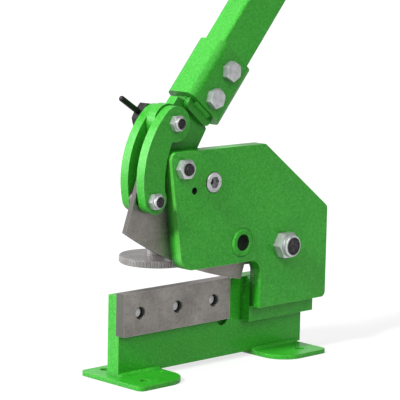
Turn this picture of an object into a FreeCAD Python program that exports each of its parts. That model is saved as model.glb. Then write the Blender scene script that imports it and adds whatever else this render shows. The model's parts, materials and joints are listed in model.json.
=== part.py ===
import FreeCAD, Part
import math
import os

V = FreeCAD.Vector

# All sizes are in millimetres. While the pieces are made, X runs along the blades towards the
# pivot end, Y = 0 is the near face of the base plate and Z = 0 is the bench.

# Base and feet
base_length = 232.0
base_thickness = 14.0
base_top_z = 75.4
foot_thickness = 4.0
foot_length = 60.8
foot_width = 80.0
foot_near_reach = 40.2
front_foot_overhang = 9.8
rear_foot_inset = 5.0
foot_outer_radius = 6.0
foot_inner_radius = 24.0
foot_hole_diameter = 9.5
foot_hole_from_end = 20.3
foot_hole_near_reach = 23.5
foot_hole_spacing = 52.0
weld_leg = 3.0
weld_swell = 0.62

# Lower blade and its seat
lower_blade_length = 130.0
lower_blade_height = 38.2
lower_blade_thickness = 10.0
lower_blade_seat_depth = 3.6
lower_blade_proud = 2.8
lower_blade_hole_first_x = 19.4
lower_blade_hole_pitch = 45.0
lower_blade_hole_drop = 18.7
lower_blade_bolt_recess = 4.5
seat_corner_relief_radius = 7.0

# Layers across the machine
shear_clearance = 0.1
side_gap = 0.1
upper_blade_thickness = 5.0
side_plate_thickness = 13.0
lever_thickness = 10.0
link_thickness = 9.5
link_gap = 0.6

# Pivots, x and z
lever_pivot = (50.5, 186.0)
blade_pivot = (178.5, 106.0)
upper_link_pivot = (43.0, 226.0)
lower_link_pivot = (19.5, 160.0)
link_shank_diameter = 10.0
running_clearance = 0.05
hole_clearance = 0.1

# Motion of the linkage
lever_travel = 90.0
blade_turn_per_lever = 0.19
link_turn_per_lever = -0.733
open_pivot_clearance = 0.4

# Side plate
side_plate_top_z = 200.8
side_plate_bottom_z = 50.0
side_plate_past_base = 6.2
side_plate_slope_start_x = 152.9
side_plate_slope_end_z = 136.2
side_plate_top_left_x = 35.2
side_plate_left_lean = 0.158
side_plate_nose_bottom_z = 95.0
side_plate_corner_radius = 5.0
side_plate_top_left_radius = 7.0
side_plate_nose_radius = 14.0
throat_x = 150.0
throat_radius = 12.0
bar_hole_centre = (125.7, 113.2)
bar_hole_diameter = 14.5
bar_bush_diameter = 26.0
bar_bush_proud = 1.5
lock_hole_centre = (64.4, 165.4)
lock_hole_diameter = 6.0

# Spacer block
spacer_bottom_z = 35.1
spacer_top_z = 75.0
spacer_past_base = 3.5
spacer_cut_across = 8.0
spacer_cut_down = 18.0
spacer_cut_radius = 12.0

# Upper blade
blade_tail_reach = 181.2
blade_tail_drop = 33.2
blade_belly_reach = 100.0
blade_belly_drop = 44.5
blade_heel_reach = 29.0
blade_heel_drop = 41.1
blade_heel_height = 13.7
blade_back_height = 15.5
blade_back_reach = 125.0
blade_eye_radius = 24.0
blade_neck_reach = 10.0

# Lever, socket and handle. Along the handle is measured from the lever pivot.
handle_lean = 39.7
lever_eye_radius = 16.5
lever_nose_radius = 16.0
lever_peak = (50.0, -36.0)
lever_nose_end_along = 41.5
lever_neck_along = 52.5
lever_shoulder = (50.4, 10.7)
lever_shoulder_bevel = (2.6, 0.7)
lever_eye_flat_along = 2.0
socket_start = 56.5
socket_length = 58.5
socket_wall = 4.3
socket_corner_radius = 8.5
socket_offset = -10.3
handle_width = 40.0
handle_depth = 25.0
handle_wall = 2.5
handle_corner_radius = 2.8
handle_inner_radius = 0.6
handle_start = socket_start
handle_end = 430.0
socket_slip = 0.1
socket_bolt_first = 68.6
socket_bolt_pitch = 29.7
socket_bolt_turns = (15.0, 30.0)
packer_start = 47.0
packer_corner_radius = 6.0
socket_weld_length = 20.0
tongue_top = 111.0
tongue_slip = 0.3
plug_rim = 5.0
plug_depth = 22.0
plug_wall = 3.0

# Links, measured from the lower pivot towards the upper one and sideways to the back
link_top_centre = (69.5, -1.5)
link_top_radius = 15.7
link_bottom_centre = (1.1, -1.7)
link_bottom_radius = 12.3
link_back_radius = 80.0
link_front_middle = (42.0, -1.8)
link_front_top_angle = -177.0
link_front_bottom_angle = -38.0

# Upper link screw with its bar, and the far head of the lower link bolt
screw_head_across_flats = 28.0
screw_head_height = 10.0
screw_head_turn = -8.0
tommy_bar_diameter = 5.3
tommy_bar_reach = 39.5
tommy_bar_angle = 147.5
sunk_head_diameter = 18.0
link_bush_diameter = 22.0

# Hold-down
cap_screw_centre = (88.0, 171.0)
cap_head_diameter = 18.0
cap_head_height = 8.0
cap_head_proud = 1.4
cap_socket_across_flats = 10.0
cap_socket_depth = 5.0
arm_near_y = 10.0
arm_thickness = 7.0
arm_bush_diameter = 20.0
arm_eye_reach = 15.0
arm_eye_radius = 12.0
arm_small_radius = 3.0
hold_down_x = 67.5
hold_down_y = 27.0
hold_down_foot_z = 94.5
disc_diameter = 66.0
disc_thickness = 6.5
disc_groove_count = 64
disc_groove_depth = 0.6
hold_down_nut_height = 7.2
hub_diameter = 18.0
hub_height = 14.0
boss_diameter = 24.0
boss_bottom_z = 136.0
boss_height = 22.0
screw_top_z = 198.0


class Fastener:
    """Standard sizes that belong to one thread diameter."""

    def __init__(self, thread, flats, head_height, nut_height, washer_diameter, washer_thickness):
        self.thread = thread
        self.flats = flats
        self.head_height = head_height
        self.nut_height = nut_height
        self.washer_diameter = washer_diameter
        self.washer_thickness = washer_thickness


# Standard bolts, nuts and washers
m8 = Fastener(8.0, 13.0, 5.3, 8.0, 16.0, 1.6)
m10 = Fastener(10.0, 16.0, 6.4, 10.0, 20.0, 2.0)
m12 = Fastener(12.0, 18.0, 7.5, 12.0, 24.0, 2.5)
m14 = Fastener(14.0, 22.0, 8.8, 14.0, 28.0, 2.5)
lower_blade_bolt = m10
lever_pivot_size = m10
blade_pivot_size = m14
link_thread = m8
socket_bolt_size = m10
cap_screw_size = m12
hold_down_size = m12
bolt_end_chamfer = 1.0
edge_chamfer = 0.8

# Sizes that follow from the ones above
lower_blade_near_y = lower_blade_seat_depth - lower_blade_thickness
blade_far_y = lower_blade_near_y - shear_clearance
blade_near_y = blade_far_y - upper_blade_thickness
plate_far_y = blade_near_y - side_gap
plate_near_y = plate_far_y - side_plate_thickness
lever_near_y = plate_far_y + side_gap
lever_far_y = lever_near_y + lever_thickness
lever_mid_y = (lever_near_y + lever_far_y) / 2
near_link_far_y = lever_near_y - link_gap
near_link_near_y = near_link_far_y - link_thickness
far_link_near_y = lever_far_y + link_gap
far_link_far_y = far_link_near_y + link_thickness
lower_blade_top_z = base_top_z + lower_blade_proud
lower_blade_bottom_z = lower_blade_top_z - lower_blade_height
front_foot_start_x = -front_foot_overhang
rear_foot_start_x = base_length - rear_foot_inset - foot_length
front_hole_x = front_foot_start_x + foot_hole_from_end
rear_hole_x = rear_foot_start_x + foot_length - foot_hole_from_end
near_hole_y = -foot_hole_near_reach
far_hole_y = near_hole_y + foot_hole_spacing
origin = V((front_hole_x + rear_hole_x) / 2, (near_hole_y + far_hole_y) / 2, 0)
side_plate_right_x = base_length + side_plate_past_base
spacer_right_x = base_length + spacer_past_base
lean = math.radians(handle_lean)


def lever_point(along, across):
    """Place a lever point, measured along the handle and across it, in x and z."""
    x = lever_pivot[0] + along * math.sin(lean) + across * math.cos(lean)
    z = lever_pivot[1] + along * math.cos(lean) - across * math.sin(lean)
    return (x, z)


def line_frame(start, end):
    """Return a function that places a point measured from start towards end and sideways."""
    length = math.dist(start, end)
    ex = (end[0] - start[0]) / length
    ez = (end[1] - start[1]) / length

    def place(reach, side):
        return (start[0] + reach * ex - side * ez, start[1] + reach * ez + side * ex)
    return place


def at(point, y):
    return V(point[0], y, point[1])


def rounded_wire(corners, to_vector):
    """Closed outline through corners (a, b, radius), each rounded by its own radius."""
    count = len(corners)
    starts, mids, ends = [], [], []
    for i in range(count):
        a, b, radius = corners[i]
        here = to_vector(a, b)
        before = to_vector(*corners[i - 1][:2])
        after = to_vector(*corners[(i + 1) % count][:2])
        if radius == 0:
            starts.append(here)
            mids.append(None)
            ends.append(here)
            continue
        d1 = (before - here).normalize()
        d2 = (after - here).normalize()
        half = d1.getAngle(d2) / 2
        cut = radius / math.tan(half)
        centre = here + (d1 + d2).normalize() * (radius / math.sin(half))
        starts.append(here + d1 * cut)
        ends.append(here + d2 * cut)
        mids.append(centre + (here - centre).normalize() * radius)
    edges = []
    for i in range(count):
        if mids[i] is not None:
            edges.append(Part.Arc(starts[i], mids[i], ends[i]).toShape())
        following = starts[(i + 1) % count]
        if (following - ends[i]).Length > 1e-6:
            edges.append(Part.makeLine(ends[i], following))
    return Part.Wire(edges)


def upright_plate(corners, near_y, far_y):
    """Plate standing in the XZ plane, outline from rounded corners (x, z, radius)."""
    wire = rounded_wire(corners, lambda x, z: V(x, near_y, z))
    return Part.Face(wire).extrude(V(0, far_y - near_y, 0))


def flat_plate(corners, bottom_z, top_z):
    """Plate lying in the XY plane, outline from rounded corners (x, y, radius)."""
    wire = rounded_wire(corners, lambda x, y: V(x, y, bottom_z))
    return Part.Face(wire).extrude(V(0, 0, top_z - bottom_z))


def path_plate(start, moves, near_y, far_y):
    """Plate in the XZ plane. A move is an end point, or a middle point and an end point."""
    here = at(start, near_y)
    edges = []
    for move in moves:
        end = at(move[-1], near_y)
        if len(move) == 1:
            edges.append(Part.makeLine(here, end))
        else:
            edges.append(Part.Arc(here, at(move[0], near_y), end).toShape())
        here = end
    return Part.Face(Part.Wire(edges)).extrude(V(0, far_y - near_y, 0))


def rod(point, radius, near_y, far_y):
    return Part.makeCylinder(radius, far_y - near_y, at(point, near_y), V(0, 1, 0))


def ring(point, outer_radius, inner_radius, near_y, far_y):
    return rod(point, outer_radius, near_y, far_y).cut(rod(point, inner_radius, near_y, far_y))


def turned(point, start_y, side, profile):
    """Turned piece about a cross axis. The profile lists radius and distance from start_y."""
    corners = [V(point[0] + r, start_y + side * d, point[1]) for r, d in profile]
    face = Part.Face(Part.makePolygon(corners + corners[:1]))
    return Part.Solid(face.revolve(at(point, start_y), V(0, 1, 0), 360))


def hexagon(point, across_flats, start_y, side, height, turn=0.0):
    """Hexagon bar along Y, flats at top and bottom, with a chamfered outer end."""
    corner = across_flats / math.sqrt(3)
    ring_points = []
    for i in range(6):
        angle = math.radians(60 * i + turn)
        ring_points.append(V(point[0] + corner * math.cos(angle), start_y,
                             point[1] + corner * math.sin(angle)))
    bar = Part.Face(Part.makePolygon(ring_points + ring_points[:1])).extrude(V(0, side * height, 0))
    bevel = corner - across_flats / 2
    outside = corner + edge_chamfer
    rise = (outside - across_flats / 2) / 2
    blank = [(0, 0), (outside, 0), (outside, height - rise),
             (across_flats / 2 - bevel / 4, height), (0, height)]
    return bar.common(turned(point, start_y, side, blank))


def bolt(point, size, head_y, side, length, turn=0.0):
    """Hexagon-head bolt. The head stands on head_y, the shank runs the other way."""
    radius = size.thread / 2
    head = hexagon(point, size.flats, head_y, side, size.head_height, turn)
    tip = radius - bolt_end_chamfer
    profile = [(0, 0), (radius, 0), (radius, length - bolt_end_chamfer), (tip, length), (0, length)]
    return head.fuse(turned(point, head_y, -side, profile)).removeSplitter()


def lock_nut(point, size, face_y, side):
    """Hexagon nut with a round locking collar on its outer end."""
    height = size.nut_height
    body = 2 * height / 3
    collar = 0.45 * size.flats
    bore = size.thread / 2 + hole_clearance
    nut = hexagon(point, size.flats, face_y, side, body)
    cap = [(0, 0), (collar, 0), (collar, height - edge_chamfer), (collar - edge_chamfer, height),
           (0, height)]
    nut = nut.fuse(turned(point, face_y, side, cap))
    return nut.cut(turned(point, face_y, side, [(0, 0), (bore, 0), (bore, height), (0, height)]))


def washer(point, size, face_y, side):
    low = min(face_y, face_y + side * size.washer_thickness)
    return ring(point, size.washer_diameter / 2, size.thread / 2 + hole_clearance, low,
                low + size.washer_thickness)


def group(shapes):
    return Part.makeCompound(shapes)


def base_plate():
    body = Part.makeBox(base_length, base_thickness, base_top_z - foot_thickness,
                        V(0, 0, foot_thickness))
    seat = Part.makeBox(lower_blade_length + hole_clearance, lower_blade_seat_depth,
                        base_top_z - lower_blade_bottom_z + 1, V(0, 0, lower_blade_bottom_z))
    relief_centre = (lower_blade_length - seat_corner_relief_radius / 2, lower_blade_bottom_z)
    relief = rod(relief_centre, seat_corner_relief_radius, 0, lower_blade_seat_depth)
    body = body.cut(seat).cut(relief)
    for x in lower_blade_hole_places():
        point = (x, lower_blade_hole_z())
        body = body.cut(rod(point, lower_blade_bolt.thread / 2 + hole_clearance, 0, base_thickness))
    return body


def foot(start_x, outer_end_is_left):
    """Foot plate with two bench bolt holes, the corners facing the middle more rounded."""
    end_x = start_x + foot_length
    near = -foot_near_reach
    far = near + foot_width
    left = foot_outer_radius if outer_end_is_left else foot_inner_radius
    right = foot_inner_radius if outer_end_is_left else foot_outer_radius
    plate = flat_plate([(start_x, near, left), (end_x, near, right), (end_x, far, right),
                        (start_x, far, left)], 0, foot_thickness)
    hole_x = front_hole_x if outer_end_is_left else rear_hole_x
    for y in (near_hole_y, far_hole_y):
        plate = plate.cut(Part.makeCylinder(foot_hole_diameter / 2, foot_thickness, V(hole_x, y, 0)))
    return plate


def bead(start, end, side_a, side_b):
    """Weld bead: a quarter-round filler between two faces, from start to end."""
    corner = V(*start)
    a = corner + V(*side_a) * weld_leg
    b = corner + V(*side_b) * weld_leg
    middle = corner + (V(*side_a) + V(*side_b)) * (weld_swell * weld_leg)
    wire = Part.Wire([Part.makeLine(corner, a), Part.Arc(a, middle, b).toShape(),
                      Part.makeLine(b, corner)])
    return Part.Face(wire).extrude(V(*end) - corner)


def foot_welds():
    beads = []
    for start_x in (0, rear_foot_start_x):
        end_x = min(start_x + foot_length, base_length)
        if start_x == 0:
            end_x = front_foot_start_x + foot_length
        z = foot_thickness
        beads.append(bead((start_x, 0, z), (end_x, 0, z), (0, -1, 0), (0, 0, 1)))
        beads.append(bead((start_x, base_thickness, z), (end_x, base_thickness, z),
                          (0, 1, 0), (0, 0, 1)))
    return group(beads)


def spacer_plate():
    """Block between base and side plate, its end towards the throat cut back at the top."""
    return upright_plate([
        (throat_x, spacer_bottom_z, 0),
        (spacer_right_x, spacer_bottom_z, 0),
        (spacer_right_x, spacer_top_z, 0),
        (throat_x + spacer_cut_across, spacer_top_z, 0),
        (throat_x, spacer_top_z - spacer_cut_down, spacer_cut_radius)], plate_far_y, 0)


def spacer_welds():
    right_x = min(base_length, spacer_right_x)
    low = bead((throat_x, 0, spacer_bottom_z), (right_x, 0, spacer_bottom_z),
               (0, -1, 0), (0, 0, -1))
    front = bead((throat_x, plate_far_y, side_plate_bottom_z),
                 (right_x, plate_far_y, side_plate_bottom_z), (0, -1, 0), (0, 0, -1))
    return group([low, front])


def side_plate():
    """Large plate that carries both pivots, with the throat cut out below its nose."""
    left_x = side_plate_top_left_x
    nose_x = left_x + side_plate_left_lean * (side_plate_top_z - side_plate_nose_bottom_z)
    corners = [
        (left_x, side_plate_top_z, side_plate_top_left_radius),
        (nose_x, side_plate_nose_bottom_z, side_plate_nose_radius),
        (throat_x, side_plate_nose_bottom_z, throat_radius),
        (throat_x, side_plate_bottom_z, 0),
        (side_plate_right_x, side_plate_bottom_z, side_plate_corner_radius),
        (side_plate_right_x, side_plate_slope_end_z, side_plate_corner_radius),
        (side_plate_slope_start_x, side_plate_top_z, side_plate_corner_radius),
    ]
    plate = upright_plate(corners, plate_near_y, plate_far_y)
    holes = [
        rod(lever_pivot, lever_pivot_size.thread / 2 + hole_clearance, plate_near_y, plate_far_y),
        rod(blade_pivot, blade_pivot_size.thread / 2 + hole_clearance, plate_near_y, plate_far_y),
        rod(bar_hole_centre, bar_bush_diameter / 2, plate_near_y, plate_far_y),
        rod(lock_hole_centre, lock_hole_diameter / 2, plate_near_y, plate_far_y),
        rod(cap_screw_centre, cap_screw_size.thread / 2 + hole_clearance, plate_near_y, plate_far_y),
        rod(cap_screw_centre, cap_head_diameter / 2 + hole_clearance, plate_near_y,
            plate_near_y + cap_head_height - cap_head_proud),
    ]
    for hole in holes:
        plate = plate.cut(hole)
    return plate


def bar_bush():
    inner = bar_hole_diameter / 2
    outer = bar_bush_diameter / 2
    front = side_plate_thickness + bar_bush_proud
    return turned(bar_hole_centre, plate_far_y, -1, [
        (inner, 0), (outer, 0), (outer, side_plate_thickness), (outer - bar_bush_proud, front),
        (inner + edge_chamfer, front), (inner, front - edge_chamfer)])


def lower_blade_hole_places():
    return [lower_blade_hole_first_x + i * lower_blade_hole_pitch for i in range(3)]


def lower_blade_hole_z():
    return lower_blade_top_z - lower_blade_hole_drop


def lower_blade():
    blade = Part.makeBox(lower_blade_length, lower_blade_thickness, lower_blade_height,
                         V(0, lower_blade_near_y, lower_blade_bottom_z))
    for x in lower_blade_hole_places():
        point = (x, lower_blade_hole_z())
        radius = lower_blade_bolt.thread / 2 + hole_clearance
        blade = blade.cut(rod(point, radius, lower_blade_near_y, lower_blade_seat_depth))
        blade = blade.cut(turned(point, lower_blade_near_y, 1,
                                 [(0, 0), (radius + edge_chamfer, 0), (radius, edge_chamfer),
                                  (0, edge_chamfer)]))
    return blade


def lower_blade_bolts():
    head_y = base_thickness + lower_blade_bolt.washer_thickness
    length = head_y - (lower_blade_near_y + lower_blade_bolt_recess)
    return group([bolt((x, lower_blade_hole_z()), lower_blade_bolt, head_y, 1, length)
                  for x in lower_blade_hole_places()])


def lower_blade_washers():
    return group([washer((x, lower_blade_hole_z()), lower_blade_bolt, base_thickness, 1)
                  for x in lower_blade_hole_places()])


def pivot_head_y(size, far_y):
    return far_y + side_gap + size.washer_thickness


def pivot_bolt(point, size, far_y):
    """Bolt from the far side, ending flush with its lock nut on the side plate."""
    head_y = pivot_head_y(size, far_y)
    return bolt(point, size, head_y, 1, head_y - plate_near_y + size.nut_height)


def lever_pivot_bolt():
    return pivot_bolt(lever_pivot, lever_pivot_size, lever_far_y)


def lever_pivot_washer():
    return washer(lever_pivot, lever_pivot_size, lever_far_y + side_gap, 1)


def lever_pivot_nut():
    return lock_nut(lever_pivot, lever_pivot_size, plate_near_y, -1)


def blade_pivot_bolt():
    return pivot_bolt(blade_pivot, blade_pivot_size, blade_far_y)


def blade_pivot_washer():
    return washer(blade_pivot, blade_pivot_size, blade_far_y + side_gap, 1)


def blade_pivot_nut():
    return lock_nut(blade_pivot, blade_pivot_size, plate_near_y, -1)


def turn_about(point, centre, degrees):
    """Turn an x, z point from +X towards +Z about a centre."""
    angle = math.radians(degrees)
    dx = point[0] - centre[0]
    dz = point[1] - centre[1]
    return (centre[0] + dx * math.cos(angle) - dz * math.sin(angle),
            centre[1] + dx * math.sin(angle) + dz * math.cos(angle))


def open_pivot_path():
    """Places of the lower link bolt as the blade sees them, over the lever's travel."""
    places = []
    for step in range(31):
        lever_turn = lever_travel * step / 30
        point = turn_about(lower_link_pivot, upper_link_pivot, link_turn_per_lever * lever_turn)
        point = turn_about(point, lever_pivot, lever_turn)
        places.append(turn_about(point, blade_pivot, -blade_turn_per_lever * lever_turn))
    return places


def upper_blade():
    """Blade with a bowed cutting edge, a heel, a pivot eye and the slot in its tail."""
    place = line_frame(blade_pivot, lower_link_pivot)

    def spot(reach, height):
        return place(reach, -height)
    neck = spot(blade_neck_reach, -math.sqrt(blade_eye_radius ** 2 - blade_neck_reach ** 2))
    moves = [
        (spot(blade_belly_reach, -blade_belly_drop), spot(blade_heel_reach, -blade_heel_drop)),
        (spot(blade_heel_reach, blade_heel_height - blade_heel_drop),),
        (neck,),
        (spot(-blade_eye_radius, 0), spot(0, blade_eye_radius)),
        (spot(blade_back_reach, blade_back_height),),
        (spot(blade_tail_reach, blade_back_height),),
        (spot(blade_tail_reach, -blade_tail_drop),),
    ]
    blade = path_plate(spot(blade_tail_reach, -blade_tail_drop), moves, blade_near_y, blade_far_y)
    blade = blade.cut(rod(blade_pivot, blade_pivot_size.thread / 2 + running_clearance,
                          blade_near_y, blade_far_y))
    blade = blade.cut(rod(bar_hole_centre, bar_hole_diameter / 2, blade_near_y, blade_far_y))
    return blade.cut(tail_slot(place))


def tail_slot(place):
    """Opening for the lower link bolt, as large as its path in the blade asks for."""
    span = math.dist(blade_pivot, lower_link_pivot)
    ex = (lower_link_pivot[0] - blade_pivot[0]) / span
    ez = (lower_link_pivot[1] - blade_pivot[1]) / span
    reaches = []
    sides = []
    for x, z in open_pivot_path():
        dx = x - blade_pivot[0]
        dz = z - blade_pivot[1]
        reaches.append(dx * ex + dz * ez)
        sides.append(dz * ex - dx * ez)
    radius = link_shank_diameter / 2 + open_pivot_clearance
    low_r, high_r = min(reaches) - radius, max(reaches) + radius
    low_s, high_s = min(sides) - radius, max(sides) + radius
    corners = [place(low_r, low_s), place(high_r, low_s), place(high_r, high_s),
               place(low_r, high_s)]
    corner_radius = link_shank_diameter / 2
    return upright_plate([(x, z, corner_radius) for x, z in corners], blade_near_y, blade_far_y)


def tangent_points(centre_a, radius_a, centre_b, radius_b, side):
    """Ends of the outer tangent line of two circles, on the given side of a towards b."""
    place_a = line_frame(centre_a, centre_b)
    span = math.dist(centre_a, centre_b)
    angle = math.asin((radius_a - radius_b) / span)
    along = math.sin(angle)
    across = side * math.cos(angle)
    return (place_a(radius_a * along, radius_a * across),
            place_a(span + radius_b * along, radius_b * across))


def lever_plate():
    """Lever plate: pivot eye, nose for the links and a tongue that fills the socket."""
    tongue_half = (handle_width - 2 * handle_wall) / 2 - tongue_slip
    eye_side = math.sqrt(lever_eye_radius ** 2 - lever_eye_flat_along ** 2)
    eye_start = lever_point(lever_eye_flat_along, eye_side)
    eye_low = lever_point(-lever_eye_radius, 0)
    tangent_eye, tangent_nose = tangent_points(lever_pivot, lever_eye_radius, upper_link_pivot,
                                               lever_nose_radius, 1)
    nose_left = lever_side_point(upper_link_pivot, lever_nose_radius)
    nose_end = lever_point(lever_nose_end_along, lever_peak[1])
    bevel_along, bevel_across = lever_shoulder_bevel
    shoulder_along, shoulder_across = lever_shoulder
    moves = [
        (eye_low, tangent_eye),
        (tangent_nose,),
        (nose_left, nose_end),
        (lever_point(*lever_peak),),
        (lever_point(lever_neck_along, socket_offset - tongue_half),),
        (lever_point(tongue_top, socket_offset - tongue_half),),
        (lever_point(tongue_top, socket_offset + tongue_half),),
        (lever_point(shoulder_along, socket_offset + tongue_half),),
        (lever_point(shoulder_along - bevel_along / 2, shoulder_across - bevel_across),),
        (lever_point(shoulder_along - bevel_along, shoulder_across),),
        (eye_start,),
    ]
    plate = path_plate(eye_start, moves, lever_near_y, lever_far_y)
    plate = plate.cut(rod(lever_pivot, lever_pivot_size.thread / 2 + running_clearance,
                          lever_near_y, lever_far_y))
    plate = plate.cut(rod(upper_link_pivot, link_shank_diameter / 2 + running_clearance,
                          lever_near_y, lever_far_y))
    return cross_holes(plate, lever_near_y, lever_far_y)


def lever_side_point(centre, radius):
    """Point of a circle that lies farthest from the handle's right side."""
    return (centre[0] - radius * math.cos(lean), centre[1] + radius * math.sin(lean))


def socket_bolt_places():
    return [lever_point(socket_bolt_first + i * socket_bolt_pitch, socket_offset)
            for i in range(2)]


def lean_over(shape):
    """Move a piece made upright along Z at the origin onto the leaning handle axis."""
    shape.rotate(V(0, 0, 0), V(0, 1, 0), handle_lean)
    shape.translate(V(lever_pivot[0], lever_mid_y, lever_pivot[1]))
    return shape


def oblong(width, depth, radius, start, end):
    x0, x1 = socket_offset - width / 2, socket_offset + width / 2
    y0, y1 = -depth / 2, depth / 2
    return flat_plate([(x0, y0, radius), (x1, y0, radius), (x1, y1, radius), (x0, y1, radius)],
                      start, end)


def cross_holes(shape, first_y, last_y):
    for point in socket_bolt_places():
        shape = shape.cut(rod(point, socket_bolt_size.thread / 2 + hole_clearance, first_y, last_y))
    return shape


def socket_depth():
    return handle_depth + 2 * (socket_slip + socket_wall)


def handle_socket():
    inner_width = handle_width + 2 * socket_slip
    inner_depth = handle_depth + 2 * socket_slip
    end = socket_start + socket_length
    outer = oblong(inner_width + 2 * socket_wall, inner_depth + 2 * socket_wall,
                   socket_corner_radius, socket_start, end)
    inner = oblong(inner_width, inner_depth, handle_corner_radius + socket_slip, socket_start, end)
    shell = lean_over(outer.cut(inner))
    reach = socket_depth()
    return cross_holes(shell, lever_mid_y - reach, lever_mid_y + reach)


def handle_tube():
    outer = oblong(handle_width, handle_depth, handle_corner_radius, handle_start, handle_end)
    inner = oblong(handle_width - 2 * handle_wall, handle_depth - 2 * handle_wall,
                   handle_inner_radius, handle_start, handle_end)
    tube = lean_over(outer.cut(inner))
    return cross_holes(tube, lever_mid_y - handle_depth, lever_mid_y + handle_depth)


def packing_plates():
    """Flat packers that fill the space between tongue and tube, their lower ends in sight."""
    half_gap = handle_depth / 2 - handle_wall
    width = handle_width - 2 * (handle_wall + handle_inner_radius)
    plates = []
    for near, far in ((-half_gap, -lever_thickness / 2), (lever_thickness / 2, half_gap)):
        x0, x1 = socket_offset - width / 2, socket_offset + width / 2
        plate = upright_plate([(x0, packer_start, packer_corner_radius),
                               (x1, packer_start, packer_corner_radius),
                               (x1, tongue_top, 0), (x0, tongue_top, 0)], near, far)
        plate = cross_holes(lean_over(plate), lever_mid_y - half_gap, lever_mid_y + half_gap)
        plates.append(plate)
    return group(plates)


def socket_near_y():
    return lever_mid_y - socket_depth() / 2


def socket_bolts():
    length = socket_depth() + socket_bolt_size.nut_height
    return group([bolt(point, socket_bolt_size, socket_near_y(), -1, length, turn)
                  for point, turn in zip(socket_bolt_places(), socket_bolt_turns)])


def socket_nuts():
    far_y = lever_mid_y + socket_depth() / 2
    return group([lock_nut(point, socket_bolt_size, far_y, 1) for point in socket_bolt_places()])


def handle_plug():
    stem_width = handle_width - 2 * handle_wall - 2 * socket_slip
    stem_depth = handle_depth - 2 * handle_wall - 2 * socket_slip
    stem = oblong(stem_width, stem_depth, handle_inner_radius, handle_end - plug_depth,
                  handle_end)
    hollow = oblong(stem_width - 2 * plug_wall, stem_depth - 2 * plug_wall, handle_inner_radius,
                    handle_end - plug_depth, handle_end)
    rim = oblong(handle_width, handle_depth, handle_corner_radius, handle_end,
                 handle_end + plug_rim)
    top_edges = [edge for edge in rim.Edges
                 if edge.BoundBox.ZMin > handle_end + plug_rim - 1e-6]
    rim = rim.makeFillet(plug_rim / 2, top_edges)
    return lean_over(stem.cut(hollow).fuse(rim).removeSplitter())


def socket_welds():
    """Short beads that join the packers to the lower end of tube and socket."""
    beads = []
    half_gap = handle_depth / 2 - handle_wall
    for y, out in ((-half_gap, -1), (half_gap, 1)):
        left = socket_offset - socket_weld_length / 2
        shape = bead((left, y, socket_start), (left + socket_weld_length, y, socket_start),
                     (0, out, 0), (0, 0, -1))
        beads.append(lean_over(shape))
    return group(beads)


def circle_crossing(centre_a, radius_a, centre_b, radius_b):
    """Right-hand crossing of two circles, seen from centre a towards centre b."""
    place = line_frame(centre_a, centre_b)
    span = math.dist(centre_a, centre_b)
    along = (span ** 2 + radius_a ** 2 - radius_b ** 2) / (2 * span)
    return place(along, -math.sqrt(radius_a ** 2 - along ** 2))


def from_centre(centre, through, radius):
    """Point at a distance from centre, on the line through another point."""
    reach = radius / math.dist(centre, through)
    return (centre[0] + (through[0] - centre[0]) * reach,
            centre[1] + (through[1] - centre[1]) * reach)


def link_outline(near_y, far_y):
    """Crescent link: round ends, a back that runs into both of them and a hollow front."""
    place = line_frame(lower_link_pivot, upper_link_pivot)
    top = place(*link_top_centre)
    low = place(*link_bottom_centre)

    def around(centre, radius, degrees):
        angle = math.radians(degrees)
        return place(centre[0] + radius * math.cos(angle), centre[1] + radius * math.sin(angle))
    middle = circle_crossing(low, link_back_radius - link_bottom_radius,
                             top, link_back_radius - link_top_radius)
    back_top = from_centre(middle, top, link_back_radius)
    back_low = from_centre(middle, low, link_back_radius)
    halfway = ((back_top[0] + back_low[0]) / 2, (back_top[1] + back_low[1]) / 2)
    moves = [
        (around(link_top_centre, link_top_radius, -60),
         around(link_top_centre, link_top_radius, link_front_top_angle)),
        (place(*link_front_middle),
         around(link_bottom_centre, link_bottom_radius, link_front_bottom_angle)),
        (around(link_bottom_centre, link_bottom_radius, -140), back_low),
        (from_centre(middle, halfway, link_back_radius), back_top),
    ]
    return path_plate(back_top, moves, near_y, far_y)


def link_near():
    link = link_outline(near_link_near_y, near_link_far_y)
    for point in (upper_link_pivot, lower_link_pivot):
        link = link.cut(rod(point, link_thread.thread / 2 + hole_clearance,
                            near_link_near_y, near_link_far_y))
    return link


def link_far():
    link = link_outline(far_link_near_y, far_link_far_y)
    for point in (upper_link_pivot, lower_link_pivot):
        link = link.cut(rod(point, link_shank_diameter / 2 + hole_clearance,
                            far_link_near_y, far_link_far_y))
    return link.cut(sunk_head(hole_clearance))


def sunk_head(extra):
    """Cone of the sunk head, flush with the far link's outer face."""
    top = sunk_head_diameter / 2 + extra
    low = link_shank_diameter / 2 + extra
    return turned(lower_link_pivot, far_link_far_y, -1,
                  [(0, 0), (top, 0), (low, top - low), (0, top - low)])


def stepped_shank(point, head_y):
    """Shoulder through far link and lever or blade, then the thread through the near link."""
    shoulder = link_shank_diameter / 2
    thread = link_thread.thread / 2
    step = head_y - near_link_far_y
    end = head_y - near_link_near_y + link_thread.nut_height
    return turned(point, head_y, -1, [(0, 0), (shoulder, 0), (shoulder, step), (thread, step),
                                      (thread, end - bolt_end_chamfer),
                                      (thread - bolt_end_chamfer, end), (0, end)])


def lower_link_bolt():
    return stepped_shank(lower_link_pivot, far_link_far_y).fuse(sunk_head(0)).removeSplitter()


def link_bush():
    """Bush that fills the space between blade tail and far link."""
    return ring(lower_link_pivot, link_bush_diameter / 2, link_shank_diameter / 2 + hole_clearance,
                blade_far_y + side_gap, far_link_near_y)


def link_nuts():
    return group([lock_nut(point, link_thread, near_link_near_y, -1)
                  for point in (upper_link_pivot, lower_link_pivot)])


def tommy_bar_line():
    """Start and direction of the bar, across the middle of the screw's head."""
    angle = math.radians(tommy_bar_angle)
    direction = V(math.cos(angle), 0, math.sin(angle))
    return at(upper_link_pivot, far_link_far_y + screw_head_height / 2), direction


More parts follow.
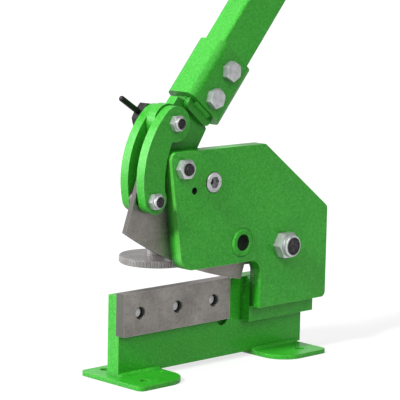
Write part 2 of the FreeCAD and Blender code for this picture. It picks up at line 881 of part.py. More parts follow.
def upper_link_screw():
    head = hexagon(upper_link_pivot, screw_head_across_flats, far_link_far_y, 1,
                   screw_head_height, screw_head_turn)
    screw = head.fuse(stepped_shank(upper_link_pivot, far_link_far_y)).removeSplitter()
    start, direction = tommy_bar_line()
    return screw.cut(Part.makeCylinder(tommy_bar_diameter / 2, tommy_bar_reach, start, direction))


def tommy_bar():
    start, direction = tommy_bar_line()
    radius = tommy_bar_diameter / 2
    straight = Part.makeCylinder(radius, tommy_bar_reach - radius, start, direction)
    tip = Part.makeSphere(radius, start + direction * (tommy_bar_reach - radius))
    return straight.fuse(tip).removeSplitter()


def cap_screw():
    """Cap screw that carries the hold-down arm, its head sunk in the side plate."""
    head_y = plate_near_y - cap_head_proud
    thread = cap_screw_size.thread / 2
    end = arm_near_y + arm_thickness + cap_screw_size.nut_height - head_y
    screw = turned(cap_screw_centre, head_y, 1, [
        (0, 0), (cap_head_diameter / 2 - edge_chamfer, 0), (cap_head_diameter / 2, edge_chamfer),
        (cap_head_diameter / 2, cap_head_height), (thread, cap_head_height),
        (thread, end - bolt_end_chamfer), (thread - bolt_end_chamfer, end), (0, end)])
    return screw.cut(hexagon(cap_screw_centre, cap_socket_across_flats, head_y, 1,
                             cap_socket_depth))


def arm_bush():
    return ring(cap_screw_centre, arm_bush_diameter / 2, cap_screw_size.thread / 2 + hole_clearance,
                plate_far_y, arm_near_y)


def arm_nut():
    return lock_nut(cap_screw_centre, cap_screw_size, arm_near_y + arm_thickness, 1)


def hold_down_arm():
    """Arm behind the side plate with a threaded boss for the hold-down screw."""
    far_y = arm_near_y + arm_thickness
    half = boss_diameter / 2
    top_z = boss_bottom_z + boss_height
    cx, cz = cap_screw_centre
    corners = [
        (hold_down_x - half, boss_bottom_z, arm_small_radius),
        (hold_down_x + half, boss_bottom_z, arm_small_radius),
        (cx + arm_eye_reach, cz - arm_eye_reach / 3, arm_eye_radius),
        (cx + arm_eye_reach * 2 / 3, cz + arm_eye_reach, arm_eye_radius),
        (cx - arm_eye_reach * 2 / 3, cz + arm_eye_reach, arm_eye_radius),
        (hold_down_x - half, top_z + arm_small_radius, arm_eye_radius / 2),
    ]
    arm = upright_plate(corners, arm_near_y, far_y)
    boss = Part.makeCylinder(half, boss_height, V(hold_down_x, hold_down_y, boss_bottom_z))
    arm = arm.fuse(boss).removeSplitter()
    arm = arm.cut(rod(cap_screw_centre, cap_screw_size.thread / 2 + hole_clearance, arm_near_y, far_y))
    thread = Part.makeCylinder(hold_down_size.thread / 2 + running_clearance, boss_height,
                               V(hold_down_x, hold_down_y, boss_bottom_z))
    return arm.cut(thread)


def hold_down_lock_nut():
    height = hold_down_nut_height
    nut = hexagon((0, 0), hold_down_size.flats, 0, 1, height)
    nut = nut.cut(rod((0, 0), hold_down_size.thread / 2 + running_clearance, 0, height))
    nut.rotate(V(0, 0, 0), V(1, 0, 0), 90)
    nut.translate(V(hold_down_x, hold_down_y, boss_bottom_z + boss_height))
    return nut


def hold_down_screw():
    base = V(hold_down_x, hold_down_y, hold_down_foot_z + disc_thickness)
    hub = Part.makeCylinder(hub_diameter / 2, hub_height, base)
    hub = hub.makeChamfer(edge_chamfer, [edge for edge in hub.Edges
                                if edge.BoundBox.ZMin > base.z + hub_height - 1e-6])
    stem_length = screw_top_z - base.z
    stem = Part.makeCylinder(hold_down_size.thread / 2, stem_length, base)
    stem = stem.makeChamfer(bolt_end_chamfer, [edge for edge in stem.Edges
                                               if edge.BoundBox.ZMin > screw_top_z - 1e-6])
    peg = Part.makeCylinder(hold_down_size.thread / 2, disc_thickness,
                            base - V(0, 0, disc_thickness))
    return hub.fuse(stem).fuse(peg).removeSplitter()


def hold_down_disc():
    """Round foot with a grooved rim for the fingers."""
    base = V(hold_down_x, hold_down_y, hold_down_foot_z)
    radius = disc_diameter / 2
    disc = Part.makeCylinder(radius, disc_thickness, base)
    rims = [edge for edge in disc.Edges if abs(edge.BoundBox.ZLength) < 1e-6]
    disc = disc.makeChamfer(edge_chamfer, rims)
    grooves = []
    for i in range(disc_groove_count):
        turn = 360 * i / disc_groove_count
        outside = radius + disc_groove_depth
        corners = [V(radius - disc_groove_depth, 0, 0), V(outside, -2 * disc_groove_depth, 0),
                   V(outside, 2 * disc_groove_depth, 0)]
        groove = Part.Face(Part.makePolygon(corners + corners[:1])).extrude(V(0, 0, disc_thickness))
        groove.rotate(V(0, 0, 0), V(0, 0, 1), turn)
        groove.translate(base)
        grooves.append(groove)
    disc = disc.cut(group(grooves))
    return disc.cut(Part.makeCylinder(hold_down_size.thread / 2 + hole_clearance, disc_thickness,
                                      base))


pieces = {
    "base_plate": base_plate,
    "front_foot": lambda: foot(front_foot_start_x, True),
    "rear_foot": lambda: foot(rear_foot_start_x, False),
    "foot_welds": foot_welds,
    "spacer_plate": spacer_plate,
    "spacer_welds": spacer_welds,
    "side_plate": side_plate,
    "bar_bush": bar_bush,
    "lower_blade": lower_blade,
    "lower_blade_bolts": lower_blade_bolts,
    "lower_blade_washers": lower_blade_washers,
    "lever_pivot_bolt": lever_pivot_bolt,
    "lever_pivot_washer": lever_pivot_washer,
    "lever_pivot_nut": lever_pivot_nut,
    "blade_pivot_bolt": blade_pivot_bolt,
    "blade_pivot_washer": blade_pivot_washer,
    "blade_pivot_nut": blade_pivot_nut,
    "upper_blade": upper_blade,
    "lever_plate": lever_plate,
    "handle_socket": handle_socket,
    "socket_welds": socket_welds,
    "handle_tube": handle_tube,
    "packing_plates": packing_plates,
    "socket_bolts": socket_bolts,
    "socket_nuts": socket_nuts,
    "handle_plug": handle_plug,
    "link_near": link_near,
    "link_far": link_far,
    "lower_link_bolt": lower_link_bolt,
    "link_bush": link_bush,
    "link_nuts": link_nuts,
    "upper_link_screw": upper_link_screw,
    "tommy_bar": tommy_bar,
    "cap_screw": cap_screw,
    "arm_bush": arm_bush,
    "arm_nut": arm_nut,
    "hold_down_arm": hold_down_arm,
    "hold_down_lock_nut": hold_down_lock_nut,
    "hold_down_screw": hold_down_screw,
    "hold_down_disc": hold_down_disc,
}

os.makedirs("parts", exist_ok=True)
for name, make in pieces.items():
    shape = make()
    shape.translate(-origin)
    shape.exportStep("parts/" + name + ".step")
    print(name, "valid" if shape.isValid() else "NOT VALID", len(shape.Solids), round(shape.Volume))
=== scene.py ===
import bmesh
import bpy
import json
import math
from mathutils import Matrix, Vector


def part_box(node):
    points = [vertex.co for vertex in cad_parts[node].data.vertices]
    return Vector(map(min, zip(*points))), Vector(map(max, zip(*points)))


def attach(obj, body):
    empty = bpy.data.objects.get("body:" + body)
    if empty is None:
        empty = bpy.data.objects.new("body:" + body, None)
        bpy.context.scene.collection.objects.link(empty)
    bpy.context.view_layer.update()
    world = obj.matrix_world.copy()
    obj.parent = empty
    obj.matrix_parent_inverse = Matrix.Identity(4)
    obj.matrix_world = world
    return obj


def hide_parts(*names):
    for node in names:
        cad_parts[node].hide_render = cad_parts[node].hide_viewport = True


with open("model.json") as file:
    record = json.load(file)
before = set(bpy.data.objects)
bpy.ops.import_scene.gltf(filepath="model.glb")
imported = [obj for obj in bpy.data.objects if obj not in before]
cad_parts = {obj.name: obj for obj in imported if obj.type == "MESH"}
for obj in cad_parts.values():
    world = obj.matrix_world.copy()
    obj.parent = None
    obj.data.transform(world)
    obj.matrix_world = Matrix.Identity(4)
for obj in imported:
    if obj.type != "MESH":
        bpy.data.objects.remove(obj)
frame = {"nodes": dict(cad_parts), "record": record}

scene = bpy.context.scene
scene.view_settings.view_transform = "Standard"
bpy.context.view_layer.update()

# Sizes in metres and places in the row frame that the finishes and small pieces use
bench_holes = [(x, y) for x in (-0.0981, 0.0981) for y in (-0.026, 0.026)]
bench_hole_radius = 0.0055
# the bar bore and the lock hole are painted dark inside as shade; the bush and cap-head outlines
# are radii of thin painted shadow rings round them
lock_hole = ((-0.0442, 0, 0.1654), 0.0031)
bar_bore_radius = 0.0075
bar_bush_outline = 0.0133
cap_head_outline = 0.0096
cap_recess_radius = 0.0031
screw_stem_radius = 0.0070
screw_thread_pitch = 0.00175
bolt_thread_pitch = 0.00125
plain_nut_height = 0.007
painted_edge_width = 0.0009
plain_edge_width = 0.0004


def middle(node):
    """Centre of a CAD node's box."""
    low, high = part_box(node)
    return [(a + b) / 2 for a, b in zip(low, high)]


def towards(azimuth, elevation):
    """Direction from the object towards a viewer. Azimuth 0 looks along +Y."""
    return Vector((math.sin(azimuth) * math.cos(elevation),
                   -math.cos(azimuth) * math.cos(elevation), math.sin(elevation)))


def make_camera():
    """Camera at the photograph's viewing angle."""
    azimuth, elevation, roll = (math.radians(a) for a in (-44.337, 8.694, 1.224))
    target = Vector((-0.01324, -0.0025, 0.15156))
    distance = 1.7738
    back = towards(azimuth, elevation)
    right = (-back).cross(Vector((0, 0, 1))).normalized()
    up = right.cross(-back)
    turned_right = right * math.cos(roll) + up * math.sin(roll)
    turned_up = up * math.cos(roll) - right * math.sin(roll)
    camera = bpy.data.objects.new("camera", bpy.data.cameras.new("camera"))
    scene.collection.objects.link(camera)
    matrix = Matrix((turned_right, turned_up, back)).transposed().to_4x4()
    matrix.translation = target + back * distance
    camera.matrix_world = matrix
    camera.data.sensor_width = 36
    camera.data.lens = 178.65
    camera.data.clip_start = 0.05
    camera.data.clip_end = 50
    scene.camera = camera


class Tree:
    """Node tree of one material, with the helpers that the finishes share."""

    def __init__(self, name):
        self.material = bpy.data.materials.new(name)
        self.material.use_nodes = True
        self.nodes = self.material.node_tree.nodes
        self.links = self.material.node_tree.links
        self.nodes.clear()
        self.place = self.add("ShaderNodeTexCoord").outputs["Object"]

    def add(self, kind, **values):
        node = self.nodes.new(kind)
        for key, value in values.items():
            setattr(node, key, value)
        return node

    def join(self, source, target):
        self.links.new(source, target)

    def noise(self, scale, detail=2.0, stretch=None, roughness=0.5):
        """Cloudy pattern fixed to the object, stretched along an axis where asked."""
        place = self.place
        if stretch:
            mapping = self.add("ShaderNodeMapping")
            mapping.inputs["Scale"].default_value = stretch
            self.join(place, mapping.inputs["Vector"])
            place = mapping.outputs["Vector"]
        node = self.add("ShaderNodeTexNoise")
        node.inputs["Scale"].default_value = scale
        node.inputs["Detail"].default_value = detail
        node.inputs["Roughness"].default_value = roughness
        self.join(place, node.inputs["Vector"])
        return node.outputs["Fac"]

    def span(self, value, low, high, out_low, out_high):
        """Value taken from the range low to high into another range, and kept in it."""
        node = self.add("ShaderNodeMapRange")
        node.inputs["From Min"].default_value = low
        node.inputs["From Max"].default_value = high
        node.inputs["To Min"].default_value = out_low
        node.inputs["To Max"].default_value = out_high
        self.join(value, node.inputs["Value"])
        return node.outputs["Result"]

    def blend(self, factor, first, second):
        """Mix of two colours, each a plain one or a node's."""
        node = self.add("ShaderNodeMix", data_type="RGBA")
        self.join(factor, node.inputs["Factor"])
        for value, socket in ((first, node.inputs["A"]), (second, node.inputs["B"])):
            if isinstance(value, tuple):
                socket.default_value = (*value, 1)
            else:
                self.join(value, socket)
        return node.outputs["Result"]

    def product(self, a, b):
        node = self.add("ShaderNodeMath", operation="MULTIPLY")
        self.join(a, node.inputs[0])
        self.join(b, node.inputs[1])
        return node.outputs[0]

    def edges(self, radius):
        """1 along the model's edges, 0 on its faces."""
        bevel = self.add("ShaderNodeBevel", samples=6)
        bevel.inputs["Radius"].default_value = radius
        normal = self.add("ShaderNodeNewGeometry").outputs["True Normal"]
        dot = self.add("ShaderNodeVectorMath", operation="DOT_PRODUCT")
        self.join(bevel.outputs["Normal"], dot.inputs[0])
        self.join(normal, dot.inputs[1])
        return self.span(dot.outputs["Value"], 0.995, 0.80, 0.0, 1.0)

    def shade_and_dirt_in_corners(self, reach, depth):
        """Painted shade, with some dirt, in corners and holes where nearby surfaces are close: up
        to depth there, 0 in the open.
        """
        node = self.add("ShaderNodeAmbientOcclusion", samples=6)
        node.inputs["Distance"].default_value = reach
        return self.span(node.outputs["AO"], 0.25, 0.75, depth, 0)

    def facing(self, axis, amount):
        """Up to amount on faces that look along the axis, 0 on the others."""
        split = self.add("ShaderNodeSeparateXYZ")
        self.join(self.add("ShaderNodeTexCoord").outputs["Normal"], split.inputs[0])
        size = self.add("ShaderNodeMath", operation="ABSOLUTE")
        self.join(split.outputs[axis], size.inputs[0])
        return self.span(size.outputs[0], 0.30, 0.60, 0, amount)

    def along(self, axis):
        """Place along one axis of the object."""
        split = self.add("ShaderNodeSeparateXYZ")
        self.join(self.place, split.inputs[0])
        return split.outputs[axis]

    def near_axis(self, centre, along, radius):
        """1 within radius of the line through centre along X, Y or Z, 0 outside it."""
        across = [0 if axis == along else 1 for axis in "XYZ"]
        flat = self.add("ShaderNodeVectorMath", operation="MULTIPLY_ADD")
        flat.inputs[1].default_value = across
        flat.inputs[2].default_value = [-c * keep for c, keep in zip(centre, across)]
        self.join(self.place, flat.inputs[0])
        length = self.add("ShaderNodeVectorMath", operation="LENGTH")
        self.join(flat.outputs["Vector"], length.inputs[0])
        return self.span(length.outputs["Value"], radius, radius + 0.0002, 1, 0)

    def thread(self, axis, pitch):
        """Height of a thread's turns along one axis of the object."""
        node = self.add("ShaderNodeTexWave", bands_direction=axis)
        node.inputs["Scale"].default_value = math.pi / (10 * pitch)
        self.join(self.place, node.inputs["Vector"])
        return node.outputs["Fac"]

    def bump(self, height, distance, strength=1.0, before=None):
        """Surface relief from a height, on top of the relief given as before."""
        node = self.add("ShaderNodeBump")
        node.inputs["Distance"].default_value = distance
        node.inputs["Strength"].default_value = strength
        self.join(height, node.inputs["Height"])
        if before:
            self.join(before, node.inputs["Normal"])
        return node.outputs["Normal"]

    def finish(self, colour, roughness, normal, **plain):
        """Finished material. Plain numbers go straight onto the shader's sockets."""
        shader = self.add("ShaderNodeBsdfPrincipled")
        self.join(colour, shader.inputs["Base Color"])
        self.join(roughness, shader.inputs["Roughness"])
        self.join(normal, shader.inputs["Normal"])
        for key, value in plain.items():
            shader.inputs[key.replace("_", " ")].default_value = value
        output = self.add("ShaderNodeOutputMaterial")
        self.join(shader.outputs["BSDF"], output.inputs["Surface"])
        return self.material


def green_paint(name="green_paint", bores=(), corner_shade_and_dirt=0.75, reach=0.006, near_y=None,
                shade=0.0, coat=0.15):
    """Green powder coat with a fine grain, painted shade and dirt in its corners, and edges
    painted lighter, partly as wear and partly as a painted highlight.

    Bores are lines along Y, each a centre and a radius, round which the paint is dull and painted
    dark as shade.
    With near_y its X faces get a painted highlight beside that place and a painted shadow towards
    the far side.
    Shade is a painted shade, laid on the faces that look along Y.
    """
    tree = Tree(name)
    cloud = tree.span(tree.noise(16, 3), 0.35, 0.65, 0, 1)
    colour = tree.blend(cloud, (0.024, 0.380, 0.014), (0.036, 0.435, 0.022))
    mottle = tree.span(tree.noise(380, 3, roughness=0.6), 0.38, 0.62, 0, 1)
    colour = tree.blend(tree.span(mottle, 0, 0.5, 0.28, 0), colour, (0.022, 0.300, 0.015))
    colour = tree.blend(tree.span(mottle, 0.5, 1, 0, 0.28), colour, (0.085, 0.540, 0.060))
    # edges painted lighter green: partly wear, partly a painted highlight
    wear_and_highlight = tree.product(tree.edges(0.0012), tree.span(tree.noise(260, 3), 0.35, 0.7, 0.15, 0.7))
    colour = tree.blend(wear_and_highlight, colour, (0.20, 0.66, 0.14))
    grain = tree.noise(760, 2, roughness=0.6)
    colour = tree.blend(tree.span(grain, 0.58, 0.72, 0, 0.55), colour, (0.10, 0.60, 0.07))
    colour = tree.blend(tree.span(grain, 0.42, 0.28, 0, 0.55), colour, (0.010, 0.20, 0.008))
    # painted shade, with some dirt: near-black green where nearby surfaces are close
    colour = tree.blend(tree.shade_and_dirt_in_corners(reach, corner_shade_and_dirt), colour, (0.004, 0.080, 0.004))
    # painted highlight on the near part of the X faces, painted shadow on their far part
    if near_y is not None:
        near_part = tree.span(tree.along("Y"), near_y + 0.004, near_y + 0.007, 1, 0)
        front_part = tree.span(tree.along("X"), 0, 0.02, 1, 0)
        lit = tree.product(tree.product(tree.facing("X", 0.45), near_part), front_part)
        colour = tree.blend(lit, colour, (0.160, 0.640, 0.100))
        far_part = tree.span(tree.along("Y"), near_y + 0.006, near_y + 0.011, 0, 1)
        dark = tree.product(tree.facing("X", 0.80), far_part)
        colour = tree.blend(dark, colour, (0.003, 0.060, 0.003))
    # painted shade on the faces that look along Y
    if shade:
        colour = tree.blend(tree.facing("Y", shade), colour, (0.006, 0.100, 0.005))
    roughness = tree.span(tree.noise(140, 3), 0.3, 0.7, 0.34, 0.50)
    # painted shade inside holes and in thin rings round raised parts
    for centre, radius in bores:
        inside = tree.near_axis(centre, "Y", radius)
        colour = tree.blend(inside, colour, (0.010, 0.030, 0.010))
        duller = tree.add("ShaderNodeMath", operation="MAXIMUM")
        tree.join(roughness, duller.inputs[0])
        tree.join(inside, duller.inputs[1])
        roughness = duller.outputs[0]
    peel = tree.bump(grain, 0.0009, 0.5)
    return tree.finish(colour, roughness, peel, Specular_IOR_Level=0.28,
                       Coat_Weight=coat, Coat_Roughness=0.16)


def blade_steel(name="blade_steel", bore=None, ends=(0.076, 0.078, 0.068)):
    """Ground tool steel with a lengthwise grain and stains, ends painted darker partly as their
    grind and partly as painted shade, and painted shade in corners and inside a bore.
    """
    tree = Tree(name)
    grain = tree.noise(1100, 3, (0.05, 1, 1))
    cloud = tree.noise(34, 4)
    colour = tree.blend(tree.span(cloud, 0.3, 0.7, 0, 1), (0.220, 0.202, 0.190),
                        (0.330, 0.306, 0.288))
    colour = tree.blend(tree.span(grain, 0.45, 0.75, 0, 0.5), colour, (0.40, 0.375, 0.35))
    speck = tree.span(tree.noise(420, 4, roughness=0.7), 0.50, 0.72, 0, 0.55)
    colour = tree.blend(speck, colour, (0.16, 0.14, 0.13))
    stain = tree.span(tree.noise(26, 6, roughness=0.75), 0.46, 0.66, 0, 0.4)
    colour = tree.blend(stain, colour, (0.125, 0.108, 0.100))
    colour = tree.blend(tree.edges(0.0008), colour, (0.46, 0.44, 0.42))
    # ends that look along X painted darker: partly their grind, partly painted shade
    colour = tree.blend(tree.facing("X", 0.90), colour, ends)
    # painted shade, with some dirt, in corners
    colour = tree.blend(tree.shade_and_dirt_in_corners(0.006, 0.75), colour, (0.02, 0.018, 0.016))
    # painted shade inside the bore
    if bore:
        colour = tree.blend(tree.near_axis(bore[0], "Y", bore[1]), colour, (0.012, 0.020, 0.011))
    roughness = tree.span(grain, 0.3, 0.7, 0.38, 0.54)
    normal = tree.bump(grain, 0.00012, 0.5)
    return tree.finish(colour, roughness, normal, Metallic=1.0)


def zinc_plate(name="zinc_plate", corner_shade_and_dirt=0.85, metallic=0.65, level=1.0, recess=None):
    """Bright zinc with specks and painted shade in its corners. Level lightens it as painted
    light, and a recess along Y is painted dark inside as shade.
    """
    tree = Tree(name)
    cloud = tree.span(tree.noise(180, 3), 0.35, 0.65, 0, 1)
    colour = tree.blend(cloud, (0.46 * level, 0.47 * level, 0.48 * level),
                        (0.62 * level, 0.63 * level, 0.64 * level))
    speck = tree.span(tree.noise(900, 3, roughness=0.7), 0.52, 0.72, 0, 0.5)
    colour = tree.blend(speck, colour, (0.28, 0.27, 0.28))
    colour = tree.blend(tree.edges(0.0006), colour, (0.88, 0.89, 0.90))
    # painted shade, with some dirt, in corners
    colour = tree.blend(tree.shade_and_dirt_in_corners(0.004, corner_shade_and_dirt), colour, (0.020, 0.019, 0.020))
    # painted shade inside the recess
    if recess:
        colour = tree.blend(tree.near_axis(recess[0], "Y", recess[1]), colour,
                            (0.030, 0.028, 0.027))
    roughness = tree.span(tree.noise(700, 2), 0.3, 0.7, 0.30, 0.44)
    normal = tree.bump(tree.noise(1300, 2), 0.00008, 0.35)
    return tree.finish(colour, roughness, normal, Metallic=metallic)


def turned_steel(name="turned_steel", stem=None):
    """Grey turned steel. A stem is a centre, a radius and the pitch of its thread."""
    tree = Tree(name)
    grain = tree.noise(1500, 3, (1, 1, 0.25))
    colour = tree.blend(tree.span(tree.noise(90, 4), 0.35, 0.65, 0, 1), (0.190, 0.180, 0.178),
                        (0.280, 0.268, 0.265))
    speck = tree.span(tree.noise(480, 4, roughness=0.7), 0.52, 0.72, 0, 0.5)
    colour = tree.blend(speck, colour, (0.17, 0.155, 0.15))
    # painted shade: the faces that look up and down are darker
    colour = tree.blend(tree.facing("Z", 0.35), colour, (0.10, 0.092, 0.090))
    colour = tree.blend(tree.edges(0.0007), colour, (0.74, 0.73, 0.72))
    # painted shade, with some dirt, in corners
    colour = tree.blend(tree.shade_and_dirt_in_corners(0.004, 0.7), colour, (0.03, 0.028, 0.027))
    roughness = tree.span(grain, 0.3, 0.7, 0.30, 0.48)
    normal = tree.bump(grain, 0.00010, 0.5)
    if stem:
        centre, radius, pitch = stem
        turns = tree.product(tree.thread("Z", pitch), tree.near_axis(centre, "Z", radius))
        normal = tree.bump(turns, 0.0011, 0.9, normal)
    return tree.finish(colour, roughness, normal, Metallic=0.6)


def black_steel(name="black_steel", thread_pitch=None):
    """Black oxide steel, scratched and threaded along Y where a pitch is given."""
    tree = Tree(name)
    cloud = tree.span(tree.noise(120, 3), 0.35, 0.65, 0, 1)
    colour = tree.blend(cloud, (0.009, 0.009, 0.010), (0.020, 0.019, 0.021))
    if thread_pitch:
        colour = tree.blend(tree.span(tree.noise(620, 3), 0.52, 0.66, 0, 0.6), colour,
                            (0.12, 0.11, 0.12))
    colour = tree.blend(tree.edges(0.0007), colour, (0.16, 0.16, 0.165))
    roughness = tree.span(tree.noise(600, 2), 0.3, 0.7, 0.28, 0.46)
    normal = tree.bump(tree.noise(900, 2), 0.00014, 0.6)
    if thread_pitch:
        normal = tree.bump(tree.thread("Y", thread_pitch), 0.0008, 0.9, normal)
    return tree.finish(colour, roughness, normal, Metallic=0.6)


def black_plastic():
    """Moulded black plastic."""
    tree = Tree("black_plastic")
    cloud = tree.span(tree.noise(80, 3), 0.35, 0.65, 0, 1)
    colour = tree.blend(cloud, (0.016, 0.016, 0.017), (0.026, 0.026, 0.028))
    colour = tree.blend(tree.edges(0.0008), colour, (0.07, 0.07, 0.075))
    roughness = tree.span(tree.noise(500, 2), 0.3, 0.7, 0.46, 0.62)
    normal = tree.bump(tree.noise(1400, 2), 0.00008, 0.6)
    return tree.finish(colour, roughness, normal)


def soften_edges(piece, width):
    """Keep the model's flat faces flat, and round its sharp edges where two faces share them.

    The imported mesh is split at nearly all of its sharp edges, so only tommy_bar has any.
    """
    flatten = piece.modifiers.new("flatten", "DECIMATE")
    flatten.decimate_type = "DISSOLVE"
    flatten.angle_limit = math.radians(0.6)
    bevel = piece.modifiers.new("soft_edge", "BEVEL")
    bevel.limit_method = "ANGLE"
    bevel.angle_limit = math.radians(38)
    bevel.width = width
    bevel.segments = 2
    bevel.harden_normals = True


def dress_cad(materials):
    """Give every carried-over piece its finish, by its slot in the record or by its name."""
    bar_bore = (middle("bar_bush"), bar_bore_radius)
    black_thread = black_steel("threaded_black", bolt_thread_pitch)
    # lever and packing plates: painted shade on their Y faces and deeper painted shade, with some
    # dirt, in their corners
    shaded_paint = green_paint("painted_lever", corner_shade_and_dirt=0.85, reach=0.016, shade=0.40)
    # links: painted shade on their Y faces
    link_paint = green_paint("painted_links", shade=0.18)
    special = {
        "hold_down_screw": turned_steel("threaded_steel", (middle("hold_down_screw"),
                                                           screw_stem_radius,
                                                           screw_thread_pitch)),
        "lower_link_bolt": black_thread,
        "lever_pivot_bolt": black_thread,
        "blade_pivot_bolt": black_thread,
        # the bush's bore is painted dark as shade
        "bar_bush": green_paint("painted_bush", [bar_bore], coat=0.0),
        # upper blade: near-black painted shade on its ends and inside its bar hole
        "upper_blade": blade_steel("bored_blade", bar_bore, (0.026, 0.025, 0.024)),
        # side plate: painted shade in the lock hole and in thin rings round the bush and the cap
        # head, painted highlight and shadow on its left face
        "side_plate": green_paint("painted_plate",
                                  [lock_hole, (middle("bar_bush"), bar_bush_outline),
                                   (middle("cap_screw"), cap_head_outline)],
                                  near_y=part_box("side_plate")[0][1]),
        # stronger painted shade, with some dirt, in the corners of the spacer and of the base
        "spacer_plate": green_paint("painted_spacer", corner_shade_and_dirt=0.9, reach=0.010),
        "link_bush": materials["blade_steel"],
        # bolt ends deep in the lower blade's holes: painted lighter as painted light, with no
        # painted corner shade
        "lower_blade_bolts": zinc_plate("zinc_painted_light", corner_shade_and_dirt=0.0, metallic=0.0, level=1.5),
        # cap screw: its hex socket is painted dark inside as shade
        "cap_screw": zinc_plate("socket_zinc",
                                recess=(middle("cap_screw"), cap_recess_radius)),
        "base_plate": green_paint("painted_base", corner_shade_and_dirt=0.8, reach=0.012),
        "lever_plate": shaded_paint,
        "packing_plates": shaded_paint,
        "link_near": link_paint,
        "link_far": link_paint,
        # socket: painted shade on its Y faces
        "handle_socket": green_paint("painted_socket", shade=0.22),
    }
    for part in frame["record"]["subparts"]:
        name = part["node"]
        piece = frame["nodes"][name]
        piece.data.materials.clear()
        piece.data.materials.append(special.get(name) or materials[part["material_slot"]])
        painted = part["material_slot"] == "green_paint"
        soften_edges(piece, painted_edge_width if painted else plain_edge_width)


def solids_in(node):
    """Lowest and highest corner of every separate solid of a CAD node, in order along X."""
    mesh = bmesh.new()
    mesh.from_mesh(frame["nodes"][node].data)
    bmesh.ops.remove_doubles(mesh, verts=mesh.verts, dist=1e-6)
    left = set(mesh.verts)
    found = []
    while left:
        solid = set()
        edge = [left.pop()]
        while edge:
            point = edge.pop()
            solid.add(point)
            near = {link.other_vert(point) for link in point.link_edges} & left
            left -= near
            edge.extend(near)
        low = Vector(min(p.co[i] for p in solid) for i in range(3))
        high = Vector(max(p.co[i] for p in solid) for i in range(3))
        found.append((low, high))
    mesh.free()
    return sorted(found, key=lambda box: tuple(box[0]))


def new_piece(name, points, faces, material, body):
    """Mesh object that rides on a body, smooth but for its sharp edges."""
    mesh = bpy.data.meshes.new(name)
    mesh.from_pydata(points, [], faces)
    tidy = bmesh.new()
    tidy.from_mesh(mesh)
    bmesh.ops.recalc_face_normals(tidy, faces=tidy.faces)
    tidy.to_mesh(mesh)
    tidy.free()
    mesh.shade_smooth()
    mesh.set_sharp_from_angle(angle=math.radians(40))
    mesh.materials.append(material)
    piece = bpy.data.objects.new(name, mesh)
    scene.collection.objects.link(piece)
    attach(piece, body)
    return piece


def grid_faces(rows, columns, start=0, rows_close=False, columns_close=False):
    """Four-sided faces of a grid of points, wrapped round where it closes."""
    faces = []
    for i in range(rows if rows_close else rows - 1):
        for j in range(columns if columns_close else columns - 1):
            a, b = i * columns, (i + 1) % rows * columns
            k = (j + 1) % columns
            faces.append((start + a + j, start + b + j, start + b + k, start + a + k))
    return faces


def nut_rings(node, body, outward, material):
    """Plastic ring round the bolt's end in each lock nut's collar, outward along Y."""
    points, faces = [], []
    steps = 48
    sunk, crown, rim = -0.0006, 0.00025, 0.0001
    for low, high in solids_in(node):
        across_flats = high.z - low.z
        inner = across_flats * 0.318
        outer = across_flats * 0.375
        face_y = low.y if outward < 0 else high.y
        section = [(inner, sunk), (inner, 0.0), (inner * 0.6 + outer * 0.4, crown),
                   (outer, rim), (outer, sunk)]
        start = len(points)
        for step in range(steps):
            angle = math.tau * step / steps
            for radius, rise in section:
                points.append(((low.x + high.x) / 2 + radius * math.cos(angle),
                               face_y + outward * rise,
                               (low.z + high.z) / 2 + radius * math.sin(angle)))
        faces += grid_faces(steps, len(section), start, True, True)
    new_piece(node + "_rings", points, faces, material, body)


def plain_nut(node, body, height, material):
    """Plain hexagon nut, lower than the lock nut of the CAD, so that the bolt's end shows."""
    points = []
    steps = 72
    (low, high), = solids_in(node)
    half = (high.z - low.z) / 2
    bore = half * 0.64
    bore_ease = 0.0005
    face_radius = half * 0.95
    corner_slope = math.tan(math.radians(30))
    for step in range(steps):
        turn = math.tau * step / steps
        from_flat = (math.degrees(turn) + 30) % 60 - 30
        hexagon = half / math.cos(math.radians(from_flat))
        drop = (hexagon - face_radius) * corner_slope
        section = [(bore, 0.0), (bore, height - bore_ease), (bore + bore_ease, height),
                   (face_radius, height), (hexagon, height - drop), (hexagon, 0.0)]
        for radius, rise in section:
            points.append(((low.x + high.x) / 2 + radius * math.sin(turn), high.y - rise,
                           (low.z + high.z) / 2 + radius * math.cos(turn)))
    faces = grid_faces(steps, len(section), 0, True, True)
    piece = new_piece(node + "_detail", points, faces, material, body)
    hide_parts(node)


def weld_beads(node, body, side_z, side_y_of, material):
    """Bead with the torch's ripples in place of each plain one, in the same corner.

    Side_z and side_y_of say towards which side of the corner it swells in Z and Y.
    """
    points, faces = [], []
    across = 9
    step = 0.0005
    ripple_pitch, ripple_bow, ripple_depth = 0.0026, 0.004, 0.10
    end_height, end_length = 0.55, 0.004
    for low, high in solids_in(node):
        side_y = side_y_of(low, high)
        leg = high.z - low.z
        corner_y = high.y if side_y < 0 else low.y
        corner_z = low.z if side_z > 0 else high.z
        along = max(2, int((high.x - low.x) / step))
        start = len(points)
        for i in range(along + 1):
            x = low.x + (high.x - low.x) * i / along
            from_end = min(i, along - i) * step
            taper = min(1.0, end_height + from_end / end_length)
            for j in range(across):
                t = j / (across - 1)
                phase = (x + ripple_bow * (t - 0.5) ** 2) / ripple_pitch
                ripple = abs(math.sin(math.pi * phase)) ** 0.7
                full = leg * (1.0 - 0.16 * math.sin(math.pi * t))
                reach = full * taper * (1.0 - ripple_depth + ripple_depth * ripple)
                angle = t * math.pi / 2
                points.append((x, corner_y + side_y * reach * math.cos(angle),
                               corner_z + side_z * reach * math.sin(angle)))
        faces += grid_faces(along + 1, across, start)
        for i in (0, along):
            points.append((low.x + (high.x - low.x) * i / along, corner_y, corner_z))
            first = start + i * across
            faces += [(len(points) - 1, first + j, first + j + 1) for j in range(across - 1)]
    piece = new_piece(node + "_beads", points, faces, material, body)
    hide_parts(node)


